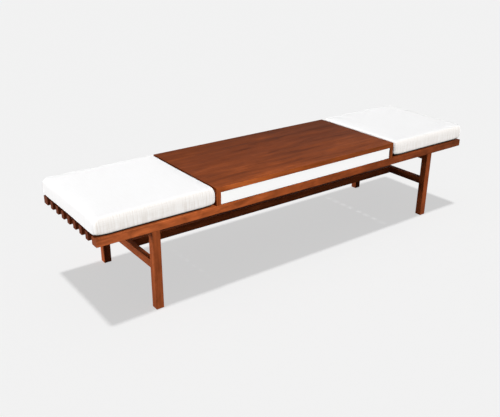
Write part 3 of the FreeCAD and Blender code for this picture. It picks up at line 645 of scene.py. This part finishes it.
def profile(thick):
    """The inset and the height of each level, from the underside to the middle of the crown."""
    quarter_turn = [math.pi / 2 * step / EDGE_STEPS for step in range(EDGE_STEPS + 1)]
    top = thick - CROWN
    levels = []
    for step in range(EDGE_STEPS):
        share = step / EDGE_STEPS
        levels.append((FOOT_INSET + BELLY_REACH * (1 - share), BELLY_RISE * share ** 2))
    for angle in quarter_turn:
        levels.append((FOOT_INSET * (1 - math.sin(angle)),
                       BELLY_RISE + FOOT_HEIGHT * (1 - math.cos(angle))))
    for angle in quarter_turn:
        levels.append((SHOULDER_INSET * (1 - math.cos(angle)),
                       top - SHOULDER_HEIGHT * (1 - math.sin(angle))))
    for step in range(1, CROWN_STEPS + 1):
        share = step / CROWN_STEPS
        levels.append((SHOULDER_INSET + share * CROWN_REACH, top + CROWN * (1 - (1 - share) ** 2)))
    return levels


def soft_box(name, low, high, fall):
    """A closed cushion form inside a box.

    Its lower corners lift a little, and its top falls towards its left end and its front.
    """
    middle = (low + high) / 2
    half = (high - low) / 2
    thick = high.z - low.z
    points = []
    faces = []
    for inset, height in profile(thick):
        ring = outline(half, inset)
        count = len(ring)
        first = len(points)
        for x, y in ring:
            aside = math.hypot(half.x - abs(x), half.y - abs(y))
            lift = CORNER_LIFT * max(0, 1 - aside / CORNER_LIFT_REACH) ** 2 * (1 - height / thick)
            drop = height / thick * (fall[0] * (half.x - x) / (2 * half.x)
                                     + fall[1] * (half.y - y) / (2 * half.y))
            points.append((middle.x + x, middle.y + y, low.z + height + lift - drop))
        if first:
            for step in range(count):
                after = (step + 1) % count
                faces.append((first - count + step, first - count + after,
                              first + after, first + step))
    faces.append(tuple(reversed(range(count))))
    faces.append(tuple(range(first, first + count)))
    return new_piece(name, points, faces)


def new_piece(name, points, faces):
    """An object with a mesh of its own."""
    mesh = bpy.data.meshes.new(name)
    mesh.from_pydata(points, [], faces)
    return in_scene(bpy.data.objects.new(name, mesh))


def in_scene(thing):
    """The same object, linked to the scene."""
    bpy.context.scene.collection.objects.link(thing)
    return thing


def apply_modifiers(piece):
    """Replace a piece's mesh by what its modifiers make of it."""
    graph = bpy.context.evaluated_depsgraph_get()
    mesh = bpy.data.meshes.new_from_object(piece.evaluated_get(graph))
    piece.modifiers.clear()
    piece.data = mesh


def remesh(piece):
    """Even quads all over a piece."""
    modifier = piece.modifiers.new("even", "REMESH")
    modifier.mode = "VOXEL"
    modifier.voxel_size = VOXEL
    modifier.use_smooth_shade = True
    apply_modifiers(piece)


def subdivide(piece):
    """A finer and smoother mesh, shaded smooth."""
    modifier = piece.modifiers.new("smooth", "SUBSURF")
    modifier.levels = 1
    modifier.render_levels = 1
    apply_modifiers(piece)
    for polygon in piece.data.polygons:
        polygon.use_smooth = True


def even_out(moves, edges):
    """Average each move with its neighbours' over and over, so that no creases are left."""
    for _ in range(SMOOTH_STEPS):
        totals = [move.copy() for move in moves]
        counts = [1] * len(moves)
        for first, second in edges:
            totals[first] += moves[second]
            totals[second] += moves[first]
            counts[first] += 1
            counts[second] += 1
        moves = [total / count for total, count in zip(totals, counts)]
    return moves


def puff(pieces):
    """Blow the covers up a little as cloth. A soft cap limits how far any point may move."""
    starts = [[vertex.co.copy() for vertex in piece.data.vertices] for piece in pieces]
    for piece in pieces:
        cloth = piece.modifiers.new("cloth", "CLOTH")
        cloth.settings.use_pressure = True
        cloth.settings.uniform_pressure_force = CLOTH_PRESSURE
        cloth.settings.effector_weights.gravity = 0
        cloth.point_cache.frame_end = CLOTH_FRAMES
    scene = bpy.context.scene
    for number in range(1, CLOTH_FRAMES + 1):
        scene.frame_set(number)
    for piece, start in zip(pieces, starts):
        apply_modifiers(piece)
        moves = []
        for vertex, origin in zip(piece.data.vertices, start):
            moved = vertex.co - origin
            if moved.length > 0:
                moved *= CLOTH_CAP * math.tanh(moved.length / CLOTH_CAP) / moved.length
            moves.append(moved)
        moves = even_out(moves, [tuple(edge.vertices) for edge in piece.data.edges])
        for vertex, origin, moved in zip(piece.data.vertices, start, moves):
            vertex.co = origin + moved
    scene.frame_set(1)


def fit_to_box(piece, low, high):
    """Press the underside of a piece flat where it rests, and stretch the piece to fill a box."""
    vertices = piece.data.vertices
    for vertex in vertices:
        vertex.co.z = max(vertex.co.z, low.z + CUSHION_START)
    for axis in range(3):
        least = min(vertex.co[axis] for vertex in vertices)
        most = max(vertex.co[axis] for vertex in vertices)
        scale = (high[axis] - low[axis]) / (most - least)
        for vertex in vertices:
            vertex.co[axis] = low[axis] + (vertex.co[axis] - least) * scale


def cushions(fabric):
    """Two loose box cushions: soft rims, low crowns and sides that draw in between the corners."""
    inset = Vector((CUSHION_START,) * 3)
    covers = {}
    for node in ("left_cushion", "right_cushion"):
        low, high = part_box(node)
        covers[node] = soft_box(f"{node}_cover", low + inset, high - inset, TOP_FALL[node])
        remesh(covers[node])
    puff(list(covers.values()))
    for node, piece in covers.items():
        low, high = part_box(node)
        fit_to_box(piece, low + Vector(SWELL[node][0]), high + Vector(SWELL[node][1]))
        subdivide(piece)
        dress(piece, fabric)
        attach(piece, f"{node}_body")
        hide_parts(node)


# Studio

def camera():
    """The photograph's view."""
    data = bpy.data.cameras.new("camera")
    data.sensor_width = SENSOR
    data.lens = FOCAL_PIXELS / PHOTO_WIDTH * SENSOR
    data.clip_start = NEAR_CLIP
    data.clip_end = FAR_CLIP
    eye = in_scene(bpy.data.objects.new("camera", data))
    turn = (Matrix.Rotation(-math.radians(CAMERA_YAW), 4, "Z")
            @ Matrix.Rotation(math.radians(90 - CAMERA_PITCH), 4, "X")
            @ Matrix.Rotation(math.radians(CAMERA_ROLL), 4, "Z"))
    eye.matrix_world = Matrix.Translation(CAMERA_PLACE) @ turn
    bpy.context.scene.camera = eye


def seen_directly(tree):
    """One where a ray comes from the camera or off a glossy or clear surface."""
    path = add_node(tree, "ShaderNodeLightPath").outputs
    seen = calculate(tree, "ADD", path["Is Camera Ray"], path["Is Glossy Ray"])
    seen = calculate(tree, "ADD", seen, path["Is Transmission Ray"])
    return calculate(tree, "MINIMUM", seen, 1.0)


def sky():
    """An even sky that lights the part, and shows as the pale backdrop."""
    world = bpy.data.worlds.new("sky")
    bpy.context.scene.world = world
    world.use_nodes = True
    tree = world.node_tree
    tree.nodes.clear()
    light = add_node(tree, "ShaderNodeBackground", {"Color": SKY_COLOUR, "Strength": SKY_STRENGTH})
    shown = add_node(tree, "ShaderNodeBackground", {"Color": BACKDROP, "Strength": 1.0})
    both = add_node(tree, "ShaderNodeMixShader",
                    {0: seen_directly(tree), 1: light.outputs[0], 2: shown.outputs[0]})
    add_node(tree, "ShaderNodeOutputWorld", {"Surface": both.outputs[0]})


def lamp(name, azimuth, elevation, spread, strength, receivers):
    """A soft far lamp that lights the pieces of a collection alone."""
    data = bpy.data.lights.new(name, "SUN")
    data.energy = strength
    data.angle = math.radians(spread)
    made = in_scene(bpy.data.objects.new(name, data))
    turn = math.radians(azimuth)
    rise = math.radians(elevation)
    towards = Vector((math.sin(turn) * math.cos(rise), math.cos(turn) * math.cos(rise),
                      -math.sin(rise)))
    made.location = -LAMP_DISTANCE * towards
    made.rotation_mode = "QUATERNION"
    made.rotation_quaternion = towards.to_track_quat("-Z", "Y")
    made.light_linking.receiver_collection = receivers


def lamps(ground):
    """The lamps of the object, and the one of the floor."""
    floor_alone = bpy.data.collections.new("floor_alone")
    floor_alone.objects.link(ground)
    all_but_floor = bpy.data.collections.new("all_but_floor")
    all_but_floor.objects.link(ground)
    all_but_floor.collection_objects[0].light_linking.link_state = "EXCLUDE"
    for name, values in LAMPS.items():
        lamp(name, *values, all_but_floor)
    lamp("floor_lamp", *FLOOR_LAMP, floor_alone)


def floor():
    """A pale floor that shows as bright as the backdrop and keeps the shadow."""
    half = FLOOR_SIZE / 2
    corners = [(-half, -half, 0), (half, -half, 0), (half, half, 0), (-half, half, 0)]
    ground = new_piece("floor", corners, [(0, 1, 2, 3)])
    material, tree, _ = new_material("floor")
    tree.nodes.clear()
    dull = add_node(tree, "ShaderNodeBsdfDiffuse", {"Color": FLOOR_COLOUR})
    glow = add_node(tree, "ShaderNodeEmission",
                    {"Strength": calculate(tree, "MULTIPLY", seen_directly(tree), FLOOR_GLOW)})
    both = add_node(tree, "ShaderNodeAddShader", {0: dull.outputs[0], 1: glow.outputs[0]})
    add_node(tree, "ShaderNodeOutputMaterial", {"Surface": both.outputs[0]})
    dress(ground, material)
    return ground


bpy.context.scene.view_settings.view_transform = "Standard"
paint_nodes()
cushions(linen())
camera()
sky()
lamps(floor())
